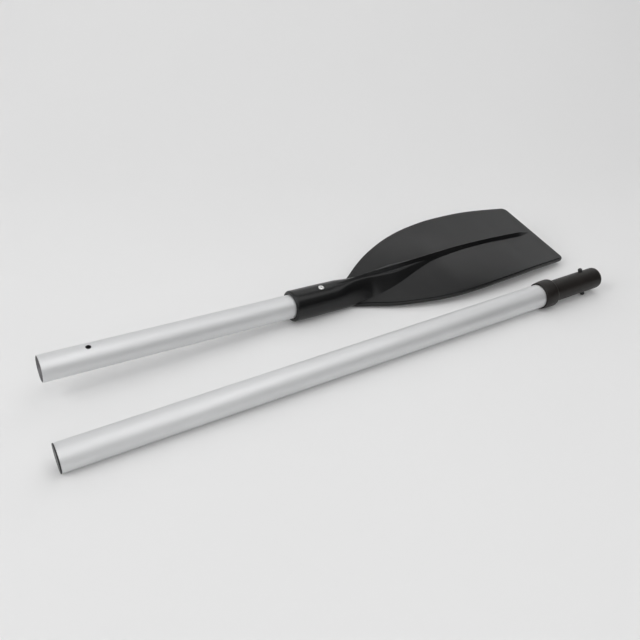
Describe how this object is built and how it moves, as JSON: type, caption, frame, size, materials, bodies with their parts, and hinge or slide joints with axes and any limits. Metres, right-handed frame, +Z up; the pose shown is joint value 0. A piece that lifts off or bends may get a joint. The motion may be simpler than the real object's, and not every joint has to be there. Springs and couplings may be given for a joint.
{
  "type": "two-piece paddle",
  "caption": "Take-apart paddle: moulded blade on a short aluminium tube, and a long handle tube whose spigot plugs in and locks with sprung snap buttons.",
  "frame": {"origin": "On the floor under the middle of the bounding box of both halves as they lie side by side.", "axes": "+X runs along the blade half's shaft towards the blade's tip, seen from above; +Y runs across the floor from the handle half towards the blade half; +Z is up."},
  "size_m": [0.7835, 0.2401, 0.0574],
  "materials": {
    "blade": "glossy moulded black",
    "blade_tube": "satin anodised",
    "rivet_body": "bright",
    "rivet_stem": "broken end, dull",
    "handle_tube": "satin anodised",
    "end_plug": "fine texture, dark grey",
    "coupling": "fine texture, brownish black",
    "snap_spring": "spring strip, rolled",
    "snap_button_upper": "blackened",
    "snap_button_lower": "blackened"
  },
  "bodies": {
    "blade_half": {"blade": "blade", "blade_tube": "blade_tube", "rivet_body": "rivet_body", "rivet_stem": "rivet_stem"},
    "handle_half": {"handle_tube": "handle_tube", "end_plug": "end_plug", "coupling": "coupling", "snap_spring": "snap_spring"},
    "upper_button": {"snap_button_upper": "snap_button_upper"},
    "lower_button": {"snap_button_lower": "snap_button_lower"}
  },
  "joints": [
    {"name": "handle_half_lift", "type": "slide", "parent": "blade_half", "child": "handle_half", "axis": [0, 0, 1], "range_m": [0, 0.25]},
    {"name": "upper_button_press", "type": "slide", "parent": "handle_half", "child": "upper_button", "axis": [-0.0074, -0.342, -0.9397], "range_m": [0, 0.0048], "stiffness_N_per_m": 2500, "springref_m": -0.002, "deforming": ["snap_spring"]},
    {"name": "lower_button_press", "type": "slide", "parent": "handle_half", "child": "lower_button", "axis": [0.0074, 0.342, 0.9397], "range_m": [0, 0.0048], "stiffness_N_per_m": 2500, "springref_m": -0.002, "deforming": ["snap_spring"]}
  ]
}
